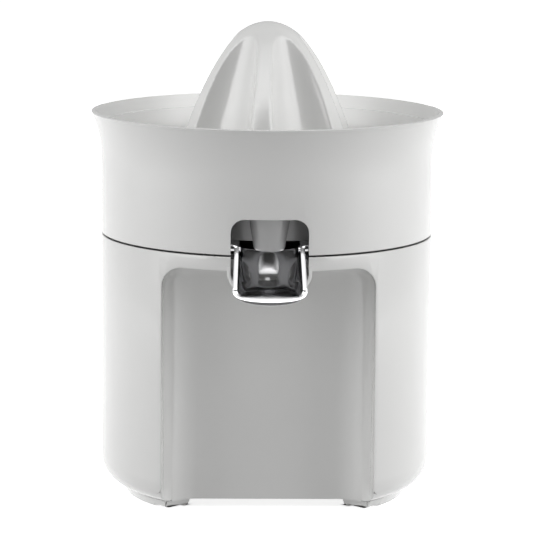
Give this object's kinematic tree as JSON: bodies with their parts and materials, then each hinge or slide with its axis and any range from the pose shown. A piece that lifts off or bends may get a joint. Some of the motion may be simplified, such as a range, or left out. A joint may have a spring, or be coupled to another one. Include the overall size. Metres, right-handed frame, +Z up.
{
  "type": "citrus juicing machine",
  "caption": "Countertop citrus press: a motor turns a ribbed cone and strainer in a lift-off bowl, and a tilting steel spout pours into a glass recess.",
  "frame": {"origin": "middle of the underside of the whole box, on the surface it stands on", "axes": "+Z up along the drive axis, which stands behind the origin; -Y towards the spout and the glass recess; +X to the right seen from the front"},
  "size_m": [0.16, 0.1706, 0.2155],
  "materials": {
    "housing": "satin gloss",
    "bowl": "gloss",
    "cone": "gloss",
    "strainer": "gloss",
    "inner_cover": "matt",
    "base": "matt",
    "feet": "matt",
    "spout_steel": "polished",
    "zinc": "zinc plated",
    "steel": "ground",
    "bronze": "sintered",
    "rubber": "matt",
    "laminations": "laminated",
    "coil_copper": "enamelled copper wire",
    "acetal": "natural",
    "black_plastic": "matt"
  },
  "bodies": {
    "base": {"lower_housing": "housing", "deck": "inner_cover", "base_plate": "base", "foot_arcs": "feet", "base_screws": "zinc", "deck_screws": "zinc", "gear_plate": "zinc", "gearbox_screws": "zinc", "gear_axle": "steel", "tower_bush": "bronze", "plate_bush": "bronze", "shaft_seal": "rubber", "stator": "laminations", "coil_bobbin": "acetal", "motor_coil": "coil_copper", "bracket_top": "zinc", "bracket_bottom": "zinc", "motor_bushes": "bronze", "motor_spacers": "zinc", "motor_screws": "zinc", "thrust_guide": "acetal", "switch_body": "black_plastic", "switch_screws": "zinc", "terminal_block": "acetal", "lead_wires": "black_plastic", "cord_gland": "rubber", "cord_clamp": "acetal", "clamp_screws": "zinc", "spout_pins": "steel", "return_spring": "steel"},
    "piston": {"press_piston": "acetal"},
    "plunger": {"switch_plunger": "acetal"},
    "drive": {"drive_shaft": "steel", "shaft_driver": "acetal", "output_gear": "acetal", "gear_pin": "steel"},
    "middle_gear": {"compound_gear": "acetal"},
    "rotor": {"motor_rotor": "laminations", "rotor_shaft": "steel", "motor_pinion": "bronze", "cooling_fan": "black_plastic"},
    "spout": {"spout": "spout_steel"},
    "bowl": {"juice_bowl": "bowl"},
    "strainer": {"strainer": "strainer"},
    "cone": {"cone": "cone"}
  },
  "joints": [
    {"name": "press", "type": "slide", "parent": "base", "child": "piston", "axis": [0, 0, -1], "range_m": [0, 0.002], "stiffness_N_per_m": 2500, "springref_m": -0.004, "deforming": ["return_spring"]},
    {"name": "switch_push", "type": "slide", "parent": "base", "child": "plunger", "axis": [0, 0, -1], "range_m": [0, 0.002]},
    {"name": "drive_spin", "type": "hinge", "parent": "piston", "child": "drive", "pos_m": [0, 0.00535, 0.1], "axis": [0, 0, 1], "continuous": true},
    {"name": "middle_spin", "type": "hinge", "parent": "base", "child": "middle_gear", "pos_m": [0.03073, 0.02936, 0.09], "axis": [0, 0, 1], "continuous": true},
    {"name": "motor_spin", "type": "hinge", "parent": "base", "child": "rotor", "pos_m": [0.00292, 0.03948, 0.06], "axis": [0, 0, 1], "continuous": true},
    {"name": "spout_tilt", "type": "hinge", "parent": "base", "child": "spout", "pos_m": [0, -0.06165, 0.1215], "axis": [-1, 0, 0], "range_deg": [0, 33]},
    {"name": "bowl_lift", "type": "slide", "parent": "base", "child": "bowl", "axis": [0, 0, 1], "range_m": [0, 0.06]},
    {"name": "strainer_lift", "type": "slide", "parent": "drive", "child": "strainer", "axis": [0, 0, 1], "range_m": [0, 0.06]},
    {"name": "cone_lift", "type": "slide", "parent": "strainer", "child": "cone", "axis": [0, 0, 1], "range_m": [0, 0.05]}
  ],
  "couplings": [
    {"joint": "switch_push", "follows": "press", "ratio": 1},
    {"joint": "middle_spin", "follows": "drive_spin", "ratio": -5.5},
    {"joint": "motor_spin", "follows": "drive_spin", "ratio": 35.2},
    {"joint": "strainer_lift", "follows": "bowl_lift", "ratio": 1}
  ]
}
